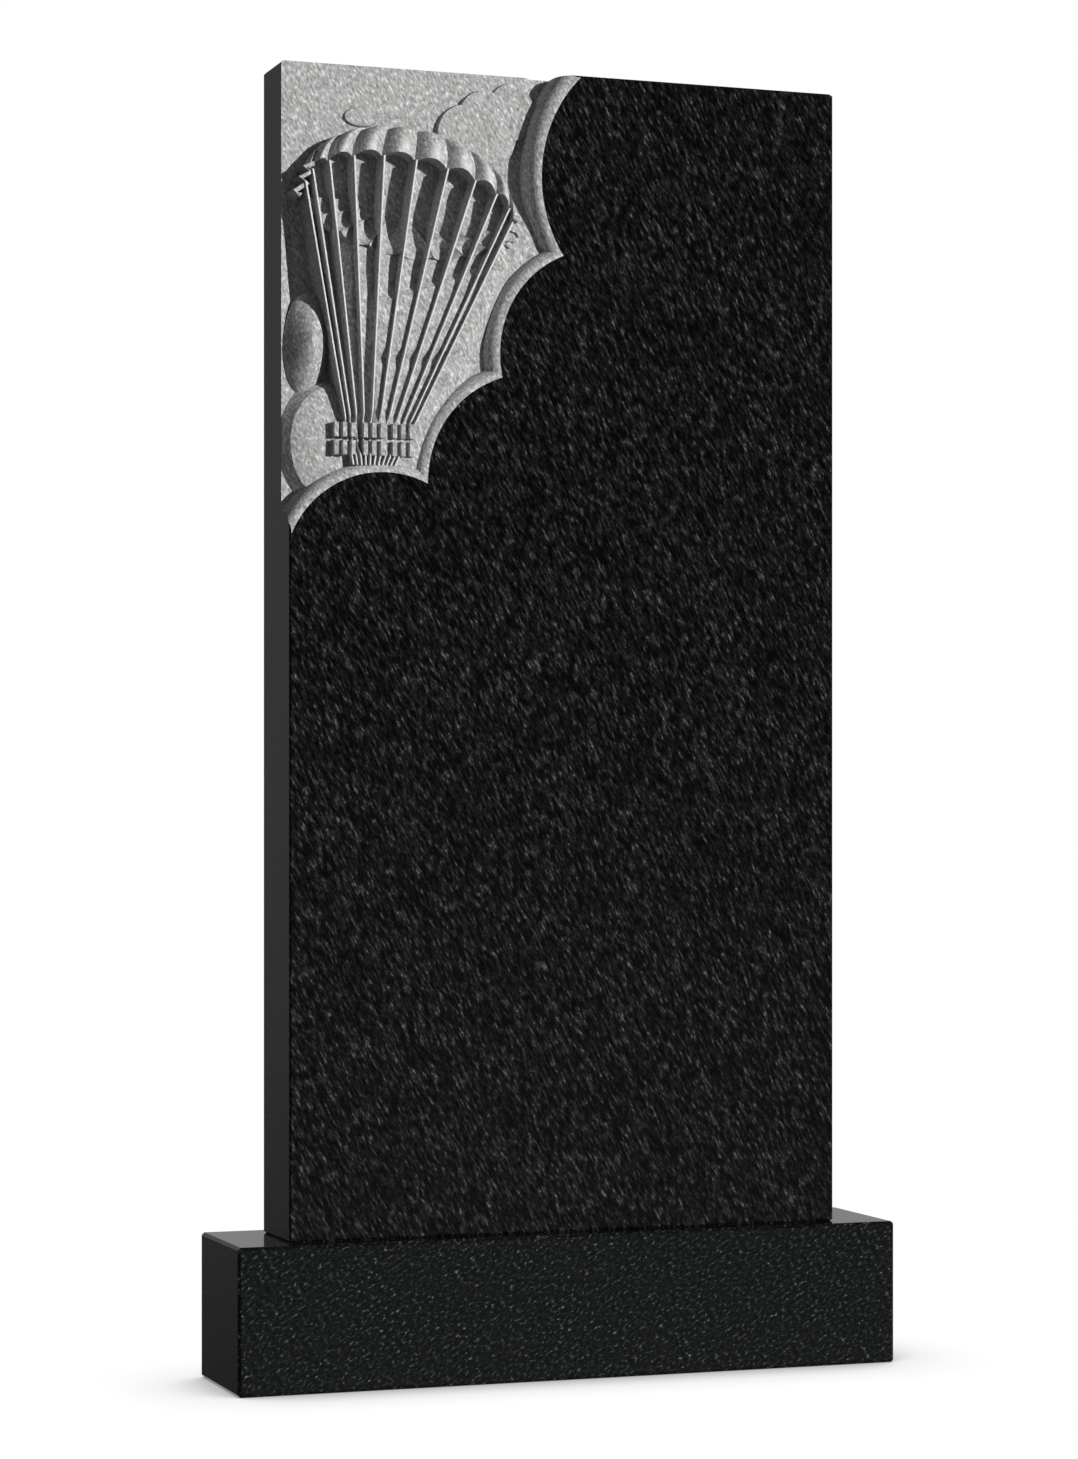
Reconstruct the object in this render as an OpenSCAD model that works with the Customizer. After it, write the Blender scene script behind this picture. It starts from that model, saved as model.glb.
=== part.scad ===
// Memorial stele: an upright slab of black polished stone on a low plinth.
// The upper left corner of its face is cut back and carved in relief: a scalloped, rolled border,
// clouds, and a parachute whose suspension lines run down to a row of raised strokes.
// Millimetres. +Z is up, the carved face looks along -Y, and the origin is the middle of the underside.

/* [Stele] */
// Width of the slab
stele_w = 600; // [500:10:900]
// Height of the slab above the plinth
stele_h = 1200; // [1000:10:1800]
// Thickness of the slab
stele_t = 100; // [80:5:160]
// Chamfer along the slab's polished edges
stele_chamfer = 2; // [1:0.5:4]

/* [Plinth] */
// Height of the plinth
plinth_h = 150; // [80:10:300]
// Ledge of the plinth beyond each side of the slab
side_ledge = 60; // [20:5:120]
// Ledge of the plinth in front of and behind the slab
front_ledge = 25; // [10:5:80]
// Chamfer along the plinth's edges
plinth_chamfer = 3; // [1:0.5:8]

/* [Carved corner] */
// Depth of the carved ground below the polished face
carve_depth = 31; // [15:1:45]
// Width of the border that rolls from the polished face down to the carved ground
border_w = 15; // [8:1:30]

/* [Canopy] */
// Radius of the canopy's open rim
canopy_r = 112; // [90:1:130]
// Height of the canopy from rim to crown
canopy_rise = 66; // [50:1:80]
// Angle from which the canopy is seen, below its rim
canopy_tilt = 25; // [15:1:35]
// Fall of the rim from left to right, for each unit of width
canopy_slope = 0.11; // [0:0.01:0.2]
// Gores around the whole canopy
gores = 20; // [12:2:28]
// Depth of the grooves between gores
gore_groove = 9; // [2:1:12]
// Depth of the canopy's outline below the polished face
crest_depth = 10; // [6:1:20]
// Angle by which the rim dips at each seam
rim_dip = 7; // [3:1:10]
// Thickness of the far side of the canopy over the carved ground
mouth_rise = 10; // [3:1:12]

/* [Lines and strokes] */
// Width of a suspension line
line_w = 2; // [1:0.5:3]
// Spacing of the lines at their lower ends
line_foot_gap = 4.4; // [4:0.1:6]
// Width of a raised stroke
stroke_w = 5; // [3:0.5:6]
// Height of a raised stroke
stroke_h = 15; // [8:1:16]

/* [Clouds] */
// Share of its full height to which each cloud is raised
cloud_relief = 1; // [0.5:0.1:1.5]

/* [Hidden] */
$fn = 96;

polished = "#1b1c1d";
carved = "#b4b4b2";

plinth_w = stele_w + 2 * side_ledge;
plinth_d = stele_t + 2 * front_ledge;

// Places on the face are [right, down] from the slab's upper left corner.
// The border's corners, from the top edge to the left edge, and the radius of the lobe between each two.
scallop_corners = [[318, 0], [296, 189], [229, 318], [148, 431], [0, 493]];
lobe_radii = [148, 111, 114, 106];
border_steps = 6;

canopy_centre = [128, 138];
rim_level = 1.5;
sides_per_gore = 6;
dome_rows = 7;
// How far the far side runs in under the near rim, as latitude.
mouth_lap = 4;
first_seam = 5;
gore_angle = 360 / gores;
line_count = gores / 2 + 1;

line_foot_start = [68, 412];
// How far up a seam each line runs, as latitude.
line_lap = 3;
line_level = 0.5;

stroke_origin = [47, 369];
stroke_groups = 3;
strokes_per_row = 3;
stroke_rows = 2;
stroke_gap = 4;
stroke_group_gap = 8;
stroke_row_gap = 3;
stroke_level = 1;

// How far raised work goes into the ground behind it, and how far cutters pass the stone.
root = 3;
over = 20;

// Clouds: [right, down, radius, height of the swell].
clouds = [
    [192, 66, 36, 7], [214, 46, 31, 9], [250, 42, 34, 6], [226, 84, 40, 8],
    [84, 60, 20, 5], [112, 66, 26, 4],
    [26, 262, 22, 16], [27, 288, 25, 21], [27, 314, 22, 15],
    [44, 386, 56, 20], [34, 424, 36, 15],
    [112, 262, 34, 18], [142, 250, 36, 20], [174, 264, 35, 19], [196, 232, 36, 14],
    [120, 320, 42, 20], [158, 316, 38, 19], [104, 374, 40, 18], [136, 368, 36, 16]
];

// The centre of the lobe that bulges into the carved corner between corners a and b of the border.
function lobe_centre(a, b, r) =
    let (chord = b - a, half = norm(chord) / 2)
    (a + b) / 2 + [chord[1], -chord[0]] / (2 * half) * sqrt(r * r - half * half);

lobes = [for (i = [0 : len(lobe_radii) - 1])
    lobe_centre(scallop_corners[i], scallop_corners[i + 1], lobe_radii[i])];

// The latitude at which the dome turns out of sight, on the meridian phi.
function crest(phi) = atan(canopy_rise / canopy_r / tan(canopy_tilt) * max(sin(phi), 0.12));

// 0 on a seam and 1 in the middle of a gore.
function fullness(phi) = pow(abs(sin((phi - first_seam) * gores / 2)), 0.7);

function rim_latitude(phi) = -rim_dip * (1 - fullness(phi));

// A point of the ellipsoid that the canopy is part of, seen from below, as [right, up] on the face.
function canopy_point(phi, latitude) =
    let (right = -canopy_r * cos(latitude) * cos(phi),
         up = canopy_r * sin(canopy_tilt) * cos(latitude) * sin(phi)
            + canopy_rise * cos(canopy_tilt) * sin(latitude))
    [canopy_centre[0] + right, -canopy_centre[1] + up - canopy_slope * right];

// Puts its children on the face: x to the right and -y down from the upper left corner, z out of the stone.
module on_face() {
    translate([-stele_w / 2, -stele_t / 2, plinth_h + stele_h])
        rotate([90, 0, 0])
            children();
}

module chamfered_rectangle(w, h, c) {
    polygon([
        [c - w / 2, -h / 2], [w / 2 - c, -h / 2], [w / 2, c - h / 2], [w / 2, h / 2 - c],
        [w / 2 - c, h / 2], [c - w / 2, h / 2], [-w / 2, h / 2 - c], [-w / 2, c - h / 2]
    ]);
}

// A block with all twelve edges chamfered, standing on z = 0.
module chamfered_block(w, d, h, c) {
    translate([0, 0, h / 2])
        intersection() {
            linear_extrude(h, center = true) chamfered_rectangle(w, d, c);
            rotate([90, 0, 0]) linear_extrude(d, center = true) chamfered_rectangle(w, h, c);
            rotate([90, 0, 90]) linear_extrude(w, center = true) chamfered_rectangle(d, h, c);
        }
}

// One lobe of the polished field, whose edge rolls over on a quarter of an ellipse.
module lobe(r) {
    roll = [for (i = [0 : border_steps])
        let (a = 90 * i / border_steps)
        [r + border_w * sin(a), -carve_depth * (1 - cos(a))]];
    rotate_extrude()
        polygon(concat(
            [[0, over], [r, over]], roll,
            [[r + border_w, -carve_depth - root], [0, -carve_depth - root]]
        ));
}

// All that is cut away from the corner.
module recess() {
    first = lobes[0];
    last = lobes[len(lobes) - 1];
    difference() {
        translate([0, 0, -carve_depth])
            linear_extrude(carve_depth + over / 2)
                polygon(concat(
                    [[-over, over], [first[0], over]],
                    [for (c = lobes) [c[0], -c[1]]],
                    [[-over, -last[1]]]
                ));
        for (i = [0 : len(lobes) - 1])
            translate([lobes[i][0], -lobes[i][1], 0])
                lobe(lobe_radii[i]);
    }
}

// The outside of the canopy: a height field over the gores, from the near rim to the crest.
module dome() {
    columns = floor((180 - first_seam) * sides_per_gore / gore_angle);
    ground = -carve_depth - root / 2;
    function across(i) = first_seam + gore_angle * i / sides_per_gore;
    function level(phi, s) =
        -rim_level - (crest_depth - rim_level) * (1 - sqrt(1 - s * s))
        - gore_groove * (1 - fullness(phi)) * (1 - s);
    function spot(i, j) =
        let (phi = across(i), s = j / dome_rows, low = rim_latitude(phi))
        canopy_point(phi, low + (crest(phi) - low) * s);
    n = dome_rows + 1;
    half = (columns + 1) * n;
    front = [for (i = [0 : columns]) for (j = [0 : dome_rows])
        let (p = spot(i, j)) [p[0], p[1], level(across(i), j / dome_rows)]];
    back = [for (i = [0 : columns]) for (j = [0 : dome_rows])
        let (p = spot(i, j)) [p[0], p[1], ground]];
    function corner(i, j) = i * n + j;
    front_faces = [for (i = [0 : columns - 1]) for (j = [0 : dome_rows - 1]) each [
        [corner(i, j), corner(i, j + 1), corner(i + 1, j + 1)],
        [corner(i, j), corner(i + 1, j + 1), corner(i + 1, j)]]];
    back_faces = [for (f = front_faces) [f[2] + half, f[1] + half, f[0] + half]];
    edge = concat(
        [for (i = [0 : columns]) corner(i, 0)],
        [for (j = [1 : dome_rows]) corner(columns, j)],
        [for (i = [columns - 1 : -1 : 0]) corner(i, dome_rows)],
        [for (j = [dome_rows - 1 : -1 : 1]) corner(0, j)]
    );
    walls = [for (k = [0 : len(edge) - 1])
        let (a = edge[k], b = edge[(k + 1) % len(edge)]) each [
        [a, b, b + half],
        [a, b + half, a + half]]];
    polyhedron(concat(front, back), concat(front_faces, back_faces, walls));
}

// The far side of the canopy, seen through its open mouth.
module mouth() {
    step = gore_angle / sides_per_gore;
    translate([0, 0, -carve_depth - root])
        linear_extrude(mouth_rise + root)
            polygon([for (phi = [first_seam : step : first_seam + 360 - step / 2])
                canopy_point(phi, rim_latitude(phi) + (phi < 180 ? mouth_lap : 0))]);
}

// A suspension line: a thin wall from a seam of the rim down to its foot.
module line(i) {
    phi = first_seam + gore_angle * i;
    top = canopy_point(phi, line_lap - rim_dip);
    foot = [line_foot_start[0] + line_foot_gap * i, -line_foot_start[1]];
    half = [line_w / 2, 0];
    translate([0, 0, -carve_depth - root])
        linear_extrude(carve_depth + root - line_level)
            polygon([top - half, top + half, foot + half, foot - half]);
}

module strokes() {
    group_w = strokes_per_row * stroke_w + (strokes_per_row - 1) * stroke_gap;
    for (g = [0 : stroke_groups - 1])
        for (row = [0 : stroke_rows - 1])
            for (i = [0 : strokes_per_row - 1])
                translate([
                    stroke_origin[0] + g * (group_w + stroke_group_gap) + i * (stroke_w + stroke_gap),
                    -stroke_origin[1] - row * (stroke_h + stroke_row_gap) - stroke_h,
                    -carve_depth - root
                ])
                    cube([stroke_w, stroke_h, carve_depth + root - stroke_level]);
}

// A low swell with a round outline: what stands above the ground of a large ball.
module swell(r, rise) {
    ball = (r * r + rise * rise) / (2 * rise);
    intersection() {
        translate([0, 0, rise - ball]) sphere(ball);
        translate([-2 * r, -2 * r, -root]) cube([4 * r, 4 * r, rise + 2 * root]);
    }
}

module cloud_bank() {
    intersection() {
        for (c = clouds)
            translate([c[0], -c[1], -carve_depth])
                swell(c[2], c[3] * cloud_relief);
        translate([0, -stele_h, -carve_depth - 2 * root]) cube([stele_w, stele_h, carve_depth]);
    }
}

module stele() {
    color(polished)
        difference() {
            translate([0, 0, plinth_h]) chamfered_block(stele_w, stele_t, stele_h, stele_chamfer);
            on_face() recess();
        }
    color(carved)
        on_face() {
            cloud_bank();
            dome();
            mouth();
            for (i = [0 : line_count - 1]) line(i);
            strokes();
        }
}

module plinth() {
    color(polished) chamfered_block(plinth_w, plinth_d, plinth_h, plinth_chamfer);
}

stele();
plinth();
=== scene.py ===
"""Memorial stele on a plinth: polished black gabbro, with the upper left corner carved in relief.

Places on the carved face are (right, down, depth) in millimetres: right and down from the slab's upper
left corner, and depth behind the polished face. face_points() turns them into metres in the frame.
"""

import math

import bpy
import numpy as np
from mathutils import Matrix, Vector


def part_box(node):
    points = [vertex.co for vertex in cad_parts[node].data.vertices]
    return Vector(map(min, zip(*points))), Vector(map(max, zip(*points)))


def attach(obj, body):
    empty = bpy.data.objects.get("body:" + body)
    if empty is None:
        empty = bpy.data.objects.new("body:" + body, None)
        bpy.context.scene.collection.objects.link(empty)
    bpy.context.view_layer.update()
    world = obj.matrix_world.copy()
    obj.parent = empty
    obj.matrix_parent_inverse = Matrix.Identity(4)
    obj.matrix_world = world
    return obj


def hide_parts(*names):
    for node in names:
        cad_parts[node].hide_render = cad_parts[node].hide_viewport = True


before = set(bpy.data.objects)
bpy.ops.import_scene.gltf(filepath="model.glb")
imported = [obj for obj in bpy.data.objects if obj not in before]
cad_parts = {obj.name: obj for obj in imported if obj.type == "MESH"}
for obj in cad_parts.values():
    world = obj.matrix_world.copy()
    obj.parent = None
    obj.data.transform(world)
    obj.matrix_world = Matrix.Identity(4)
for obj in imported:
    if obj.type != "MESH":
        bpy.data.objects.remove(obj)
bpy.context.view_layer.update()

MM = 0.001
SLAB_LOW, SLAB_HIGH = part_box("stele")
SLAB_W = (SLAB_HIGH.x - SLAB_LOW.x) / MM
SLAB_H = (SLAB_HIGH.z - SLAB_LOW.z) / MM
SLAB_T = (SLAB_HIGH.y - SLAB_LOW.y) / MM

# Slab. What cuts it starts IN_FRONT of the face, and CUT_MARGIN outside the top and left edges.
SLAB_CHAMFER = 2.0
SHARP_ANGLE = 28
IN_FRONT = -20.0
CUT_MARGIN = 20.0

# Depth of the carved ground, and of the bottom that each kind of solid has in the stone behind it
GROUND = 31.0
ROOT = 40.0
CANOPY_ROOT = ROOT - 1
MOUTH_ROOT = ROOT - 2
WALL_ROOT = ROOT - 3
STROKE_ROOT = ROOT - 4

# The ground's hollows, and how far its slope, its bank and the swells on the bank come forward
HOLLOW = 7.0
SLOPE_FORWARD = 15.0
BANK = 16.0
BANK_STEP = 3.0
SWELL = 5.5
SWELL_TOP_AT = (104, 236)
SWELL_TOP_SLOPE = 0.33
SWELL_CREASE = 3.5
SWELL_CREASE_AT = 301
SWELL_CREASE_HALF = 10
BANK_EDGE_AT = (236.5, 158)
BANK_EDGE_SLOPE = 0.445

# Border: its corners, and the radius of the lobe between each two. Its edge rolls over BORDER_ROLL wide,
# and wider by the share ROLL_FLARE at the slab's top, which is gone at ROLL_FLARE_END.
BORDER_CORNERS = np.array([(318.0, 0), (296, 189), (229, 318), (148, 431), (0, 493)])
LOBE_RADII = (148.0, 111, 114, 106)
LOBE_FRONT = 1.5 * IN_FRONT
LOBE_HUB = 2.0
BORDER_ROLL = 15.0
ROLL_POWER = 0.77
ROLL_PROUD = 0.05
ROLL_FLARE = 0.3
ROLL_FLARE_END = 110.0

# Parachute canopy: half of an ellipsoid, tilted towards the viewer and leaning to the right. In degrees,
# phi runs round it from its left end by way of the near rim, and latitude runs up it from the rim.
CANOPY_CENTRE = (129.0, 137.5)
CANOPY_R = 112.0
CANOPY_RISE = 68.5
CANOPY_TILT = math.radians(23)
CANOPY_LEAN = math.radians(7.3)
GORES = 20
GORE_ANGLE = 360 / GORES
FIRST_SEAM = 0.8
FULLNESS_POWER = 0.7
RIM_DIP = 5.0
RIM_ARCH = 6.5
CREST = 38.5
CREST_POWER = 0.45
CREST_NOTCH = 2.5
LEAST_RISE = 1.5
RIM_LEVEL = 1.5
CREST_LEVEL = 10.0

# Each gore swells from a groove at its left seam to a crown at GORE_CROWN of its width, and drops to its
# shoulder at GORE_END. The groove fades by GROOVE_FADE to the right and by CREST_FADE up to the crest.
GROOVE = 23.0
GROOVE_FADE = 0.55
CREST_FADE = 0.2
GORE_CROWN = 0.55
GORE_END = 0.965
SHOULDER_DROP = 0.3
LEFT_FALL = 10.0
LEFT_FALL_POWER = 1.5

# The bowl inside it: its depth in the middle, under the near rim, and at the far lip's seams and gores, and
# its rings from the rim inwards, as shares of the way from the middle to the rim
BOWL_DEPTH = 28.0
BOWL_NEAR = 24.5
BOWL_RINGS = (1.0, 1.0, 0.99, 0.975, 0.95, 0.92, 0.88, 0.83, 0.77, 0.7, 0.62, 0.52, 0.4, 0.26, 0.12)
MOUTH_LAP = 3.0
LIP_SEAM = 7.5
LIP_GORE = 14.5
LIP_SCALLOP = 3.0
LIP_REACH = 0.22
LIP_START = 0.3
LIP_EASE = 2.5

# Suspension lines: thin walls from the rim's seams to a row of feet, which dip behind the strokes. The dip
# is given by where it starts and ends along the line, and how long each end of it takes.
LINES = GORES // 2 + 1
LINE_FOOT = (68.0, 412.0)
LINE_FOOT_GAP = 4.4
LINE_LAP = 1.5
LINE_HALF = 1.15
LINE_TAPER = 0.2
LINE_SPREAD = 0.5
LINE_LEVEL = 0.8
LINE_DIP = 6.0
LINE_DIP_AT = (0.82, 0.94)
LINE_DIP_EASE = (0.05, 0.03)

# A line's front, from left to right: the share of its half width, and how far behind its level
LINE_FRONT = ((-1, 0.3), (-0.7, 0), (0.3, 0.75), (1, 1.5))

# Clouds: right, down, half width, half height, turn in degrees, depth of the top, width and climb of the
# flank, and the power of the distance from the middle by which the top falls to the flank
CLOUDS = (
    (195, 65, 31, 33, 0, 24.0, 1.8, 0.9, 2.2),
    (217, 44, 29, 28, 0, 23.5, 1.8, 0.9, 2.2),
    (246, 38, 27, 31, 0, 25.0, 1.8, 0.9, 2.2),
    (215, 62, 42, 37, 0, 23.5, 6, 0.7, 2.2),
    (84, 53, 19, 11, 0, 27.0, 1.8, 0.9, 2.2),
    (114, 50, 26, 8, -4, 29.0, 6, 0.5, 2.2),
    (27, 287, 25, 53, 4, 2.0, 1, 0.1, 1.5),
    (45, 390, 50, 67, 0, 10.0, 11, 0.66, 2.2),
)
CLOUD_FOOT = GROUND + 1

# Crumpled cloth at the canopy's left end, and creases past its right end, as paths of (right, down). Their
# walls have a profile of shares of the half width.
RUFFLE = ((27, 108), (17, 112), (24, 117), (13, 123), (20, 128), (7, 137), (13, 141))
RUFFLE_HALF = 2.4
RUFFLE_LEVEL = 3.0
CREASES = (
    ((240, 148), (245, 149.5), (249.5, 153.5)),
    ((243, 163), (247.5, 164), (250.5, 169)),
    ((238, 174.2), (241.5, 173.2), (245.5, 173.8)),
    ((236.5, 177.5), (240.5, 181)),
)
CREASE_HALF = 1.0
CREASE_LEVEL = 13.5
WALL_PROFILE = (-1.25, -1, -0.6, 0.6, 1, 1.25)
WALL_EASE = 0.5

# Raised strokes in the inscription's place: three groups of two rows of three
STROKES_AT = (47, 369)
STROKE_W = 5
STROKE_H = 15
STROKE_GAP = 4
STROKE_GROUP_GAP = 8
STROKE_ROW_GAP = 3
STROKE_LEVEL = 0.5
STROKE_EASE = 0.6

# The relief is kept within the slab by this much at its edges, and behind its face
OUTLINE_INSET = 0.15
OUTLINE_FRONT = 0.3


def srgb(code):
    """A colour written as hex, in linear light: each channel's sRGB curve is undone."""
    channels = [int(code[i:i + 2], 16) / 255 for i in (1, 3, 5)]
    return [c / 12.92 if c <= 0.04045 else ((c + 0.055) / 1.055) ** 2.4 for c in channels] + [1.0]


# ---------------------------------------------------------------- shapes as grids


def face_points(right, down, depth):
    """Places on the carved face, in millimetres, as points in the frame, in metres."""
    right, down, depth = np.broadcast_arrays(right, down, depth)
    return np.stack((
        SLAB_LOW.x + right * MM,
        SLAB_LOW.y + depth * MM,
        SLAB_HIGH.z - down * MM,
    ), axis=-1)


def smooth(x):
    """0 below 0, 1 above 1, and an easy S between: 3x squared minus 2x cubed."""
    x = np.clip(x, 0, 1)
    return x * x * (3 - 2 * x)


def rise(x, start, end):
    """0 before start, 1 after end, and the same S between."""
    return smooth((x - start) / (end - start))


def signed_volume(mesh):
    """Sum over triangles of a dot (b cross c) over 6, which is negative if the faces point inwards."""
    mesh.calc_loop_triangles()
    corners = np.empty(len(mesh.loop_triangles) * 3, np.int32)
    mesh.loop_triangles.foreach_get("vertices", corners)
    co = np.empty(len(mesh.vertices) * 3)
    mesh.vertices.foreach_get("co", co)
    a, b, c = co.reshape(-1, 3)[corners.reshape(-1, 3)].transpose(1, 0, 2)
    return float(np.einsum("ij,ij->i", a, np.cross(b, c)).sum() / 6)


def make_object(name, points, faces):
    """A mesh object from points and lists of faces, with its faces turned outwards."""
    mesh = bpy.data.meshes.new(name)
    mesh.from_pydata(points.reshape(-1, 3).tolist(), [], faces)
    mesh.validate()
    obj = bpy.data.objects.new(name, mesh)
    bpy.context.scene.collection.objects.link(obj)
    if signed_volume(mesh) < 0:
        mesh.flip_normals()
    return obj


def between(low, high):
    """Quads that join two chains of vertex numbers, one beside the other."""
    return np.stack((low[:-1], low[1:], high[1:], high[:-1]), axis=-1)


def sheet_solid(name, front, back):
    """A closed solid from two grids of points that match: both sheets, and walls round their edges."""
    rows, columns = front.shape[:2]
    a = np.arange(rows * columns).reshape(rows, columns)
    b = a + rows * columns
    edge = np.concatenate((a[0, :-1], a[:-1, -1], a[-1, :0:-1], a[:0:-1, 0], a[:1, 0]))
    quads = np.concatenate((
        np.stack((a[:-1, :-1], a[1:, :-1], a[1:, 1:], a[:-1, 1:]), -1).reshape(-1, 4),
        np.stack((b[:-1, :-1], b[:-1, 1:], b[1:, 1:], b[1:, :-1]), -1).reshape(-1, 4),
        between(edge, edge + rows * columns),
    ))
    points = np.concatenate((front.reshape(-1, 3), back.reshape(-1, 3)))
    return make_object(name, points, quads.tolist())


def ring_solid(name, rings):
    """A closed solid from a stack of rings of points: quads between each two, and a cap on each end."""
    count, around = rings.shape[:2]
    a = np.arange(count * around).reshape(count, around)
    a = np.concatenate((a, a[:, :1]), axis=1)
    quads = np.stack((a[:-1, :-1], a[:-1, 1:], a[1:, 1:], a[1:, :-1]), -1).reshape(-1, 4)
    caps = [a[0, -2::-1].tolist(), a[-1, :-1].tolist()]
    return make_object(name, rings, quads.tolist() + caps)


def combine(base, tool, operation):
    """Joins, cuts or intersects base with tool, and deletes tool."""
    modifier = base.modifiers.new("combine", "BOOLEAN")
    modifier.operation = operation
    modifier.solver = "MANIFOLD"
    modifier.object = tool
    graph = bpy.context.evaluated_depsgraph_get()
    made = bpy.data.meshes.new_from_object(base.evaluated_get(graph))
    base.modifiers.clear()
    old, base.data = base.data, made
    bpy.data.meshes.remove(old)
    bpy.data.objects.remove(tool)
    return base


def joined(solids):
    """All the solids as one."""
    whole = solids[0]
    for solid in solids[1:]:
        combine(whole, solid, "UNION")
    return whole


# ---------------------------------------------------------------- the slab


def chamfered_block(name, low, high, chamfer):
    """Rings of eight points round the block, drawn in by the chamfer at the bottom and the top."""
    x = np.array([low.x + chamfer, high.x - chamfer, high.x, high.x, high.x - chamfer,
                  low.x + chamfer, low.x, low.x])
    y = np.array([low.y, low.y, low.y + chamfer, high.y - chamfer, high.y, high.y,
                  high.y - chamfer, low.y + chamfer])
    middle = np.array([(low.x + high.x) / 2, (low.y + high.y) / 2])
    shrink = 1 - chamfer / np.array([(high.x - low.x) / 2, (high.y - low.y) / 2])
    plan = np.stack((x, y), axis=-1)
    small = middle + (plan - middle) * shrink
    levels = ((small, low.z), (plan, low.z + chamfer), (plan, high.z - chamfer), (small, high.z))
    rings = [np.column_stack((p, np.full(8, z))) for p, z in levels]
    return ring_solid(name, np.stack(rings))


def lobe_centres():
    """Each lobe's centre: square to the middle of its chord, where the radius meets both ends."""
    a, b = BORDER_CORNERS[:-1], BORDER_CORNERS[1:]
    chord = b - a
    half = np.hypot(chord[:, 0], chord[:, 1]) / 2
    away = np.stack((chord[:, 1], -chord[:, 0]), axis=-1) / (2 * half[:, None])
    reach = np.sqrt(np.array(LOBE_RADII) ** 2 - half**2)
    return (a + b) / 2 + away * reach[:, None]


LOBE_CENTRES = lobe_centres()


def border_lobe(centre, radius):
    """A disc of the polished field whose edge rolls over, gently and then steeply, down to the ground: a
    quarter circle with its sine and cosine raised to ROLL_POWER. The roll is wider near the slab's top."""
    turn = np.radians(np.linspace(0, 90, 19))
    roll_r = radius + BORDER_ROLL * np.sin(turn) ** ROLL_POWER
    roll_d = GROUND * (1 - np.abs(np.cos(turn)) ** ROLL_POWER) - ROLL_PROUD
    r = np.concatenate(([LOBE_HUB, radius], roll_r, [radius + BORDER_ROLL, LOBE_HUB]))[:, None]
    d = np.concatenate(([LOBE_FRONT, LOBE_FRONT], roll_d, [ROOT, ROOT]))
    angle = np.linspace(0, 2 * np.pi, 240, endpoint=False)
    wider = 1 + ROLL_FLARE * smooth(1 - (centre[1] + radius * np.sin(angle)) / ROLL_FLARE_END)
    r = np.where(r > radius, radius + (r - radius) * wider, r)
    right = centre[0] + r * np.cos(angle)
    down = centre[1] + r * np.sin(angle)
    return ring_solid("lobe", face_points(right, down, d[:, None]))


def ground_depth(right, down):
    """The carved ground: hollowed along the left edge and at the upper right, and easing forward to the lower
    right. Behind the lines a bank steps up to two rows of swells, with a crease between the rows."""
    hollow = HOLLOW * rise(right, 0, 14) * rise(down, 110, 210) * (1 - rise(down, 290, 350))
    hollow *= 1 - rise(right, 30, 70)
    hollow = hollow + HOLLOW * rise(right, 262, 272) * (1 - rise(down, 110, 160))
    forward = SLOPE_FORWARD * rise(right, 110, 220) * rise(down, 105, 170)
    bank_edge = BANK_EDGE_AT[0] - BANK_EDGE_SLOPE * (down - BANK_EDGE_AT[1])
    fade = 1 - rise(right - bank_edge, 5, 60)
    bank = (BANK + BANK_STEP * rise(down, 205, 240)) * rise(right, 48, 72) * rise(down, 165, 190) * fade
    swell_top = SWELL_TOP_AT[1] - SWELL_TOP_SLOPE * (right - SWELL_TOP_AT[0])
    swell = SWELL * rise(down - swell_top, 0, 8) * rise(right, 86, 95) * fade
    crease = SWELL_CREASE * np.clip(1 - np.abs(down - SWELL_CREASE_AT) / SWELL_CREASE_HALF, 0, 1)
    crease = crease * rise(right, 86, 95)
    return GROUND + hollow - np.maximum(forward, bank + swell - crease)


def recess():
    """What is cut out of the corner: the space in front of the ground, less the lobes of the border."""
    down = np.linspace(-CUT_MARGIN, LOBE_CENTRES[-1][1], 220)[:, None]
    last = np.interp(down, LOBE_CENTRES[:, 1], LOBE_CENTRES[:, 0])
    right = -CUT_MARGIN + (last + CUT_MARGIN) * np.linspace(0, 1, 170)[None, :]
    down = np.broadcast_to(down, right.shape)
    space = sheet_solid("recess", face_points(right, down, IN_FRONT),
                        face_points(right, down, ground_depth(right, down)))
    for centre, radius in zip(LOBE_CENTRES, LOBE_RADII):
        combine(space, border_lobe(centre, radius), "DIFFERENCE")
    return space


# ---------------------------------------------------------------- the relief


def cloud(right, down, half_w, half_h, turn, top, flank, climb, power):
    """A rounded swell: its flank rises steadily over climb of its height, then it domes to the middle."""
    outside = np.concatenate(([0], np.linspace(0, 1, 7)))
    inside = np.linspace(0, 0.94, 14)[1:]
    height = np.concatenate((climb * outside, climb + (1 - climb) * (1 - (1 - inside) ** power)))
    inset = np.concatenate((flank * outside, flank + 0 * inside))
    scale = np.concatenate((1 + 0 * outside, 1 - inside))
    depth = CLOUD_FOOT - (CLOUD_FOOT - top) * height
    depth[0] = ROOT
    angle = np.linspace(0, 2 * np.pi, 120, endpoint=False)
    a = ((half_w - inset) * scale)[:, None] * np.cos(angle)
    b = ((half_h - inset) * scale)[:, None] * np.sin(angle)
    c, s = math.cos(math.radians(turn)), math.sin(math.radians(turn))
    points = face_points(right + a * c - b * s, down + a * s + b * c, depth[:, None])
    return ring_solid("cloud", points)


def fullness(phi):
    """0 on a seam and 1 in the middle of a gore: the sine of its way across, raised to FULLNESS_POWER."""
    return np.abs(np.sin(np.radians((phi - FIRST_SEAM) * GORES / 2))) ** FULLNESS_POWER


def rim_latitude(phi):
    """The rim dips to each seam and arches over each gore."""
    return RIM_ARCH * fullness(phi) - RIM_DIP


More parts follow.
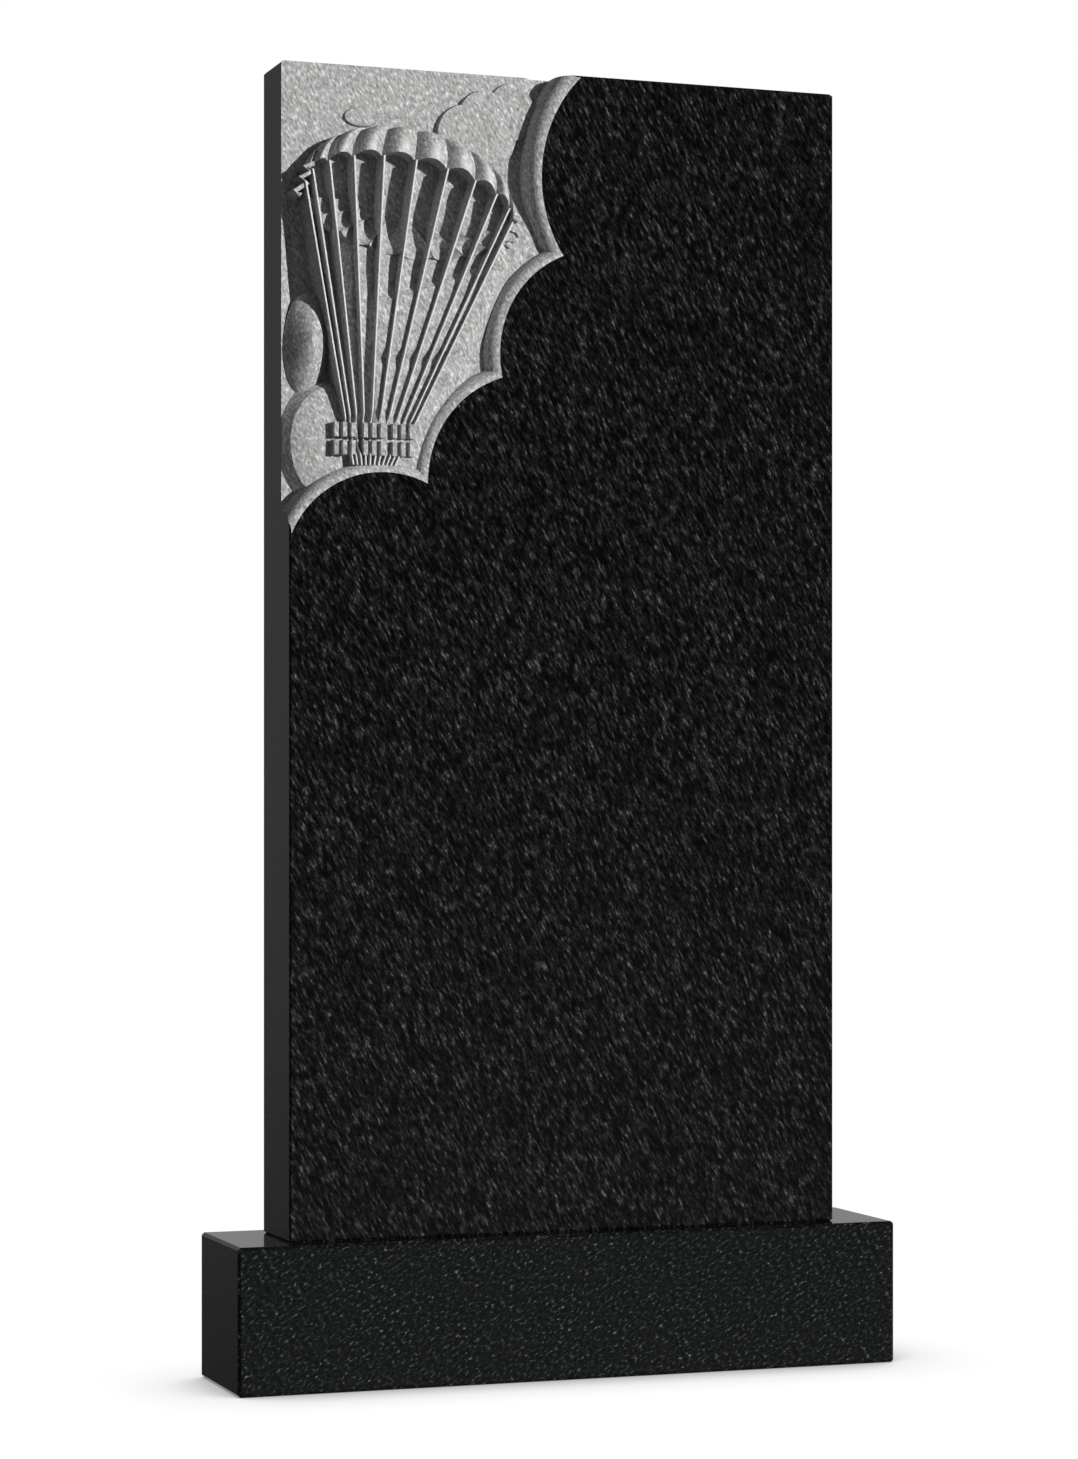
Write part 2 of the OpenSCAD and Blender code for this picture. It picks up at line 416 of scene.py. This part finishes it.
def canopy_place(phi, latitude, reach=1.0):
    """A point of the tilted, leaning ellipsoid of the canopy, seen square on: right and down."""
    phi, latitude = np.radians(phi), np.radians(latitude)
    across = -CANOPY_R * np.cos(latitude) * np.cos(phi)
    up = (CANOPY_R * math.sin(CANOPY_TILT) * np.cos(latitude) * np.sin(phi)
          + CANOPY_RISE * math.cos(CANOPY_TILT) * np.sin(latitude)) * reach
    c, s = math.cos(CANOPY_LEAN), math.sin(CANOPY_LEAN)
    return CANOPY_CENTRE[0] + across * c + up * s, CANOPY_CENTRE[1] - up * c + across * s


def billow(t):
    """A gore's height across its width: a parabola that is steep at the left seam and flat at the crown, and
    right of the crown a shallower one."""
    left = 1 - ((GORE_CROWN - t) / GORE_CROWN) ** 2
    shoulder = 1 - SHOULDER_DROP * ((t - GORE_CROWN) / (GORE_END - GORE_CROWN)) ** 2
    return np.where(t < GORE_CROWN, left, shoulder)


def canopy():
    """The outside of the near gores, from the rim to the crest. Its depth is a quarter ellipse up to the
    crest, plus the grooves, plus a fall towards its left end."""
    t = GORE_END * np.linspace(0, 1, 20)
    gore = np.arange(GORES // 2)[:, None]
    phi = (FIRST_SEAM + GORE_ANGLE * (gore + t)).reshape(1, -1)
    height = np.tile(billow(t), GORES // 2)[None, :]
    share = np.sin(np.linspace(0, np.pi / 2, 22))[:, None]
    low = rim_latitude(phi)
    crest = CREST * np.abs(np.sin(np.radians(phi))) ** CREST_POWER - CREST_NOTCH * (1 - height)
    latitude = low + np.maximum(crest - low, LEAST_RISE) * share
    right, down = canopy_place(phi, latitude)
    level = RIM_LEVEL + (CREST_LEVEL - RIM_LEVEL) * (1 - np.sqrt(1 - share**2))
    groove = GROOVE * (1 - GROOVE_FADE * rise(phi, 50, 130))
    turned = LEFT_FALL * (1 - np.sin(np.radians(np.minimum(phi, 90)))) ** LEFT_FALL_POWER
    depth = level + groove * (1 - height) * (1 - CREST_FADE * share) + turned * share
    return sheet_solid("canopy", face_points(right, down, depth), face_points(right, down, CANOPY_ROOT))


def mouth():
    """The inside of the canopy: a bowl, deepest in the middle, whose far half has a ridge on each seam and
    climbs to a scalloped lip."""
    phi = FIRST_SEAM + np.linspace(0, 360, 721)[:-1]
    far = smooth(-np.sin(np.radians(phi)) * LIP_EASE)
    lip_latitude = -RIM_DIP + LIP_SCALLOP * (1 - fullness(phi))
    latitude = np.where(far > 0, lip_latitude, rim_latitude(phi) + MOUTH_LAP)
    rim_right, rim_down = canopy_place(phi, latitude, 1 + LIP_REACH * far)
    t = np.array(BOWL_RINGS)[:, None]
    lip = LIP_SEAM + (LIP_GORE - LIP_SEAM) * fullness(phi)
    depth = (BOWL_DEPTH - (BOWL_DEPTH - BOWL_NEAR) * (1 - far) * t**2
             - (BOWL_DEPTH - lip) * far * rise(t, LIP_START, 1))
    depth[0] = MOUTH_ROOT
    right = CANOPY_CENTRE[0] + (rim_right - CANOPY_CENTRE[0]) * t
    down = CANOPY_CENTRE[1] + (rim_down - CANOPY_CENTRE[1]) * t
    return ring_solid("mouth", face_points(right, down, depth))


def wall(path, half_width, level):
    """A thin wall that follows a path of (right, down), square to it, with eased front edges."""
    way = np.asarray(path, float)
    along = np.gradient(way, axis=0)
    across = np.stack((-along[:, 1], along[:, 0]), axis=-1) / np.hypot(along[:, 0], along[:, 1])[:, None]
    offset = np.array(WALL_PROFILE) * half_width
    depth = np.array([WALL_ROOT, level + WALL_EASE, level, level, level + WALL_EASE, WALL_ROOT])
    points = way[:, None, :] + across[:, None, :] * offset[:, None]
    return ring_solid("wall", face_points(points[..., 0], points[..., 1], depth))


def line(i):
    """A thin wall from a seam of the rim to its foot: narrow in front, where it slopes back to the right,
    and wider at the ground."""
    start = np.array(canopy_place(FIRST_SEAM + GORE_ANGLE * i, LINE_LAP - RIM_DIP))
    end = np.array([LINE_FOOT[0] + LINE_FOOT_GAP * i, LINE_FOOT[1]])
    t = np.concatenate((np.linspace(0, 0.8, 9), np.linspace(LINE_DIP_AT[0], 1, 19)))[:, None]
    way = start + (end - start) * t
    down_to, up_from = (smooth((t - at) / ease) for at, ease in zip(LINE_DIP_AT, LINE_DIP_EASE))
    level = LINE_LEVEL + LINE_DIP * (down_to - up_from)
    half = LINE_HALF - LINE_TAPER * t
    share, behind = np.array(LINE_FRONT).T
    across = np.concatenate((-half - LINE_SPREAD, half * share, half + LINE_SPREAD), axis=1)
    depth = np.concatenate((0 * t + WALL_ROOT, level + behind, 0 * t + WALL_ROOT), axis=1)
    return ring_solid("line", face_points(way[:, :1] + across, way[:, 1:] + 0 * across, depth))


def stroke(right, down):
    """An upright bar with eased front edges."""
    inset = np.array([0, 0, STROKE_EASE])
    depth = np.array([STROKE_ROOT, STROKE_LEVEL + STROKE_EASE, STROKE_LEVEL])
    corner_right = np.array([0, 1, 1, 0])
    corner_down = np.array([0, 0, 1, 1])
    a = right + inset[:, None] + (STROKE_W - 2 * inset[:, None]) * corner_right
    b = down + inset[:, None] + (STROKE_H - 2 * inset[:, None]) * corner_down
    return ring_solid("stroke", face_points(a, b, depth[:, None]))


def strokes():
    """Three groups of two rows of three upright bars."""
    step = STROKE_W + STROKE_GAP
    group_step = 3 * STROKE_W + 2 * STROKE_GAP + STROKE_GROUP_GAP
    row_step = STROKE_H + STROKE_ROW_GAP
    return [stroke(STROKES_AT[0] + group * group_step + i * step, STROKES_AT[1] + row * row_step)
            for group in range(3) for row in range(2) for i in range(3)]


def slab_outline():
    """A block just within the slab's edges, from just behind its face to its middle."""
    right = np.array([OUTLINE_INSET, SLAB_W - OUTLINE_INSET, SLAB_W - OUTLINE_INSET, OUTLINE_INSET])
    down = np.array([OUTLINE_INSET, OUTLINE_INSET, SLAB_H - OUTLINE_INSET, SLAB_H - OUTLINE_INSET])
    depth = np.array([OUTLINE_FRONT, SLAB_T / 2])
    return ring_solid("outline", face_points(right, down, depth[:, None]))


def relief():
    """All that stands up from the carved ground, less the strokes, as one solid within the slab's outline."""
    solids = [cloud(*c) for c in CLOUDS]
    solids += [canopy(), mouth()]
    solids += [line(i) for i in range(LINES)]
    solids.append(wall(RUFFLE, RUFFLE_HALF, RUFFLE_LEVEL))
    solids += [wall(path, CREASE_HALF, CREASE_LEVEL) for path in CREASES]
    return combine(joined(solids), slab_outline(), "INTERSECT")


# ---------------------------------------------------------------- materials

SLAB_STOPS = (
    (0.37, "#040405"), (0.48, "#0e0f0f"), (0.57, "#1b1c1b"), (0.65, "#333533"), (0.75, "#686a68"),
)
PLINTH_STOPS = (
    (0.35, "#0a0b0c"), (0.46, "#101112"), (0.56, "#191b1b"), (0.64, "#343635"), (0.73, "#7e807e"),
)
TOOLED_STOPS = ((0.30, "#7c7c7a"), (0.45, "#a4a4a2"), (0.57, "#bababa"), (0.70, "#eaeae8"))
# Painted highlight: the colour towards which the relief's foremost parts are painted paler, for the light
# that their front faces catch
PAINTED_HIGHLIGHT = "#f0f0ee"

# Depths at which the painted highlight on the relief's foremost parts starts to fade, and is gone
PAINTED_HIGHLIGHT_DEPTHS = (1.2, 3.4)

# Crushed grains, in millimetres: 380 to the metre along their lean and 860 across it
TOOLED_GRAIN = (1000 / 380, 1000 / 860)


def add(tree, kind, inputs=None, **settings):
    """Adds a node, sets its properties, and sets or links its inputs: a socket is linked, a value is set."""
    node = tree.nodes.new(kind)
    for name, value in settings.items():
        setattr(node, name, value)
    for key, value in (inputs or {}).items():
        if isinstance(value, bpy.types.NodeSocket):
            tree.links.new(value, node.inputs[key])
        else:
            node.inputs[key].default_value = value
    return node


def ramp(tree, factor, stops):
    """A colour ramp from (position, hex colour) pairs."""
    node = add(tree, "ShaderNodeValToRGB", {"Fac": factor})
    elements = node.color_ramp.elements
    while len(elements) < len(stops):
        elements.new(1.0)
    for element, (position, code) in zip(elements, stops):
        element.position = position
        element.color = srgb(code)
    return node.outputs["Color"]


def new_material(name):
    """An empty node material with its output."""
    material = bpy.data.materials.new(name)
    material.use_nodes = True
    material.node_tree.nodes.clear()
    return material, material.node_tree, add(material.node_tree, "ShaderNodeOutputMaterial")


def grain_noise(tree, place, grain_long, grain_wide, lean, detail, roughness):
    """Noise stretched into grains of grain_long by grain_wide millimetres, whose long sides lean from upright
    by lean degrees. A grain takes about half a unit of the noise."""
    along, across = 0.5 / (grain_long * MM), 0.5 / (grain_wide * MM)
    turned = add(tree, "ShaderNodeMapping", {"Vector": place, "Rotation": (0, math.radians(lean), 0)})
    stretched = add(tree, "ShaderNodeMapping", {
        "Vector": turned.outputs["Vector"], "Scale": (across, across, along),
    })
    return add(tree, "ShaderNodeTexNoise", {
        "Vector": stretched.outputs["Vector"], "Scale": 1.0, "Detail": detail, "Roughness": roughness,
    }).outputs["Fac"]


def polished_gabbro(name, grain_long, grain_wide, lean, stops):
    """Black gabbro, sawn and polished: a mirror over dark grains, with grey feldspar laths that all lean one
    way. The laths are drawn as coarse as they need to show."""
    material, tree, output = new_material(name)
    place = add(tree, "ShaderNodeTexCoord").outputs["Object"]
    grains = grain_noise(tree, place, grain_long, grain_wide, lean, 2.5, 0.65)
    shader = add(tree, "ShaderNodeBsdfPrincipled", {
        "Base Color": ramp(tree, grains, stops), "Roughness": 0.09, "IOR": 1.33,
    })
    tree.links.new(shader.outputs["BSDF"], output.inputs["Surface"])
    return material


def tooled_gabbro(name, highlight_share):
    """The same stone left by the chisel and the abrasive: crushed grains scatter light, so it looks pale and
    matt. Its foremost parts are painted paler by the given share: a painted highlight for the light that the
    relief's front faces catch."""
    material, tree, output = new_material(name)
    place = add(tree, "ShaderNodeTexCoord").outputs["Object"]
    grains = grain_noise(tree, place, *TOOLED_GRAIN, 28, 3.0, 0.6)
    # Painted highlight: the given share at the front, fading to nothing between the two depths behind the
    # face
    highlight_fade = add(tree, "ShaderNodeMapRange", {
        "Value": add(tree, "ShaderNodeSeparateXYZ", {"Vector": place}).outputs["Y"],
        "From Min": SLAB_LOW.y + PAINTED_HIGHLIGHT_DEPTHS[0] * MM, "From Max": SLAB_LOW.y + PAINTED_HIGHLIGHT_DEPTHS[1] * MM,
        "To Min": highlight_share, "To Max": 0.0,
    })
    colour = add(tree, "ShaderNodeMix", {
        "Factor": highlight_fade.outputs["Result"], 6: ramp(tree, grains, TOOLED_STOPS), 7: srgb(PAINTED_HIGHLIGHT),
    }, data_type="RGBA").outputs[2]
    bump = add(tree, "ShaderNodeBump", {"Height": grains, "Strength": 0.5, "Distance": 0.6 * MM})
    shader = add(tree, "ShaderNodeBsdfPrincipled", {
        "Base Color": colour, "Roughness": 0.9, "IOR": 1.45, "Normal": bump.outputs["Normal"],
    })
    tree.links.new(shader.outputs["BSDF"], output.inputs["Surface"])
    return material


# ---------------------------------------------------------------- build the pieces


def mark_edges(mesh):
    """Smooth faces, with sharp edges where they meet at more than SHARP_ANGLE or the finish changes."""
    mesh.shade_smooth()
    mesh.set_sharp_from_angle(angle=math.radians(SHARP_ANGLE))
    edge_of_loop = np.empty(len(mesh.loops), np.int32)
    mesh.loops.foreach_get("edge_index", edge_of_loop)
    sizes = np.empty(len(mesh.polygons), np.int32)
    mesh.polygons.foreach_get("loop_total", sizes)
    finish = np.empty(len(mesh.polygons), np.int32)
    mesh.polygons.foreach_get("material_index", finish)
    finish_of_loop = np.repeat(finish, sizes)
    lowest = np.full(len(mesh.edges), len(mesh.materials))
    highest = np.full(len(mesh.edges), -1)
    np.minimum.at(lowest, edge_of_loop, finish_of_loop)
    np.maximum.at(highest, edge_of_loop, finish_of_loop)
    sharp = np.empty(len(mesh.edges), bool)
    attribute = mesh.attributes.get("sharp_edge") or mesh.attributes.new("sharp_edge", "BOOLEAN", "EDGE")
    attribute.data.foreach_get("value", sharp)
    attribute.data.foreach_set("value", sharp | (lowest != highest))


def build_stele():
    """The block, less the recess, plus the relief and the strokes: one stone with its finishes."""
    finishes = (
        polished_gabbro("polished_gabbro", 4.4, 1.35, 27, SLAB_STOPS),
        tooled_gabbro("tooled_gabbro", 0.0),
        # The relief takes the finish with the painted highlight on its foremost parts.
        tooled_gabbro("tooled_gabbro_painted_highlight", 0.6),
    )
    block = chamfered_block("stele_stone", SLAB_LOW, SLAB_HIGH, SLAB_CHAMFER * MM)
    steps = (
        (block, 0, None),
        (recess(), 1, "DIFFERENCE"),
        (relief(), 2, "UNION"),
        (joined(strokes()), 1, "UNION"),
    )
    for obj, finish, operation in steps:
        obj.data.materials.clear()
        for material in finishes:
            obj.data.materials.append(material)
        obj.data.polygons.foreach_set("material_index", np.full(len(obj.data.polygons), finish, np.int32))
        if operation:
            combine(block, obj, operation)
    mark_edges(block.data)
    return block


stele = build_stele()
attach(stele, "root")
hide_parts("stele")

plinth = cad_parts["plinth"]
plinth.data.materials.clear()
plinth.data.materials.append(polished_gabbro("polished_gabbro_plinth", 2.6, 1.5, -60, PLINTH_STOPS))


# ---------------------------------------------------------------- studio

CAMERA_AT = (-1.28474, -3.55209, 0.57638)
CAMERA_HEADING = math.radians(19.673)
CAMERA_SENSOR = 36
CAMERA_LENS = 88.743
CAMERA_SHIFT = 0.0624

# Lamps: strength, spread in degrees, and the direction towards the lamp
KEY_LAMP = (3.65, 1.5, (0.562, -0.809, 0.172))
BACK_LAMP = (3.0, 20, (0.0, 0.9, 0.3))

# The studio that the polish mirrors: its own glow, and cards, each by the direction towards it, the cosines
# at which it starts and is full, and its strength. FILL is the even light on matt stone.
STUDIO_GLOW = 0.04
CARDS = (
    ((0.37, 0.92, 0.10), 0.80, 0.97, 0.39),
    ((-0.28, 0.93, 0.22), 0.90, 0.99, 0.135),
    ((0.30, -0.80, -0.52), 0.80, 0.98, 0.20),
)
FILL = 0.11

# The floor's shadow is painted: ambient occlusion within FLOOR_SHADOW_REACH, looking towards
# FLOOR_SHADOW_TOWARDS, darkens its glow along the stops.
FLOOR_HALF = 6.0
FLOOR_SHADOW_REACH = 0.12
FLOOR_SHADOW_TOWARDS = (0.75, -0.1, 0.65)
FLOOR_PAINTED_SHADOW_STOPS = ((0.35, "#8c8c8c"), (0.75, "#f0f0f0"), (1.0, "#ffffff"))


def make_camera():
    """A long lens, level, to the left of the face, and shifted up so that the slab's sides stay upright."""
    data = bpy.data.cameras.new("camera")
    data.sensor_width = CAMERA_SENSOR
    data.lens = CAMERA_LENS
    data.shift_y = CAMERA_SHIFT
    camera = bpy.data.objects.new("camera", data)
    camera.location = CAMERA_AT
    camera.rotation_euler = (math.radians(90), 0, -CAMERA_HEADING)
    bpy.context.scene.collection.objects.link(camera)
    bpy.context.scene.camera = camera


def make_lamp(name, energy, spread, towards, lit):
    """A distant lamp in the direction towards, for the collection lit alone and unseen in its polish."""
    data = bpy.data.lights.new(name, "SUN")
    data.energy = energy
    data.angle = math.radians(spread)
    lamp = bpy.data.objects.new(name, data)
    length = math.sqrt(sum(c * c for c in towards))
    lamp.rotation_euler = (
        math.acos(towards[2] / length), 0, math.atan2(towards[1], towards[0]) + math.pi / 2,
    )
    lamp.visible_glossy = False
    bpy.context.scene.collection.objects.link(lamp)
    lamp.light_linking.receiver_collection = lit


def make_lamps():
    """A small key, low on the right, so that the relief throws crisp shadows to the left, and a soft lamp
    behind for the plain back."""
    lit = bpy.data.collections.new("lit_by_lamps")
    bpy.context.scene.collection.children.link(lit)
    for obj in (stele, plinth):
        lit.objects.link(obj)
    make_lamp("key", *KEY_LAMP, lit)
    make_lamp("back", *BACK_LAMP, lit)


def maths(tree, operation, a, b):
    """One step of arithmetic on numbers or sockets."""
    return add(tree, "ShaderNodeMath", {0: a, 1: b}, operation=operation).outputs[0]


def card(tree, direction, towards, start, full, strength):
    """A soft card in the studio, by the cosine between direction and towards: nothing at start, and strength
    at full."""
    close = add(tree, "ShaderNodeVectorMath", {0: direction, 1: towards}, operation="DOT_PRODUCT")
    shape = add(tree, "ShaderNodeMapRange", {
        "Value": close.outputs["Value"], "From Min": start, "From Max": full,
    }, interpolation_type="SMOOTHSTEP")
    return maths(tree, "MULTIPLY", shape.outputs["Result"], strength)


def make_world():
    """White behind the object, a weak even fill on matt stone, and a dim studio with pale cards for the
    polish, which would turn grey if it mirrored the white."""
    world = bpy.data.worlds.new("studio")
    bpy.context.scene.world = world
    world.use_nodes = True
    tree = world.node_tree
    tree.nodes.clear()
    direction = add(tree, "ShaderNodeTexCoord").outputs["Generated"]
    studio = STUDIO_GLOW
    for towards, start, full, strength in CARDS:
        studio = maths(tree, "ADD", studio, card(tree, direction, towards, start, full, strength))
    path = add(tree, "ShaderNodeLightPath")
    mirrored = add(tree, "ShaderNodeMix", {"Factor": path.outputs["Is Glossy Ray"], 2: FILL, 3: studio})
    strength = add(tree, "ShaderNodeMix", {
        "Factor": path.outputs["Is Camera Ray"], 2: mirrored.outputs[0], 3: 1.0,
    }).outputs[0]
    background = add(tree, "ShaderNodeBackground", {"Color": (1, 1, 1, 1), "Strength": strength})
    add(tree, "ShaderNodeOutputWorld", {"Surface": background.outputs["Background"]})


def make_floor():
    """A white floor that glows, with a painted shadow close to the plinth on the side away from the key:
    ambient occlusion darkens its glow.
    """
    corners = FLOOR_HALF * np.array([(-1, -1, 0), (1, -1, 0), (1, 1, 0), (-1, 1, 0)])
    floor = make_object("floor", corners, [[0, 1, 2, 3]])
    material, tree, output = new_material("white_floor")
    nearby = add(tree, "ShaderNodeAmbientOcclusion", {
        "Distance": FLOOR_SHADOW_REACH, "Normal": FLOOR_SHADOW_TOWARDS,
    }, samples=16)
    shade = ramp(tree, nearby.outputs["AO"], FLOOR_PAINTED_SHADOW_STOPS)
    path = add(tree, "ShaderNodeLightPath")
    strength = add(tree, "ShaderNodeMix", {"Factor": path.outputs["Is Camera Ray"], 2: 0.2, 3: 1.0})
    glow = add(tree, "ShaderNodeEmission", {"Color": shade, "Strength": strength.outputs[0]})
    tree.links.new(glow.outputs["Emission"], output.inputs["Surface"])
    floor.data.materials.append(material)
    floor.visible_glossy = False
    floor.visible_diffuse = False


make_camera()
make_lamps()
make_world()
make_floor()
bpy.context.scene.view_settings.view_transform = "Standard"

# More bounces between the walls of the carving would fill its shadows.
bpy.context.scene.cycles.diffuse_bounces = 1
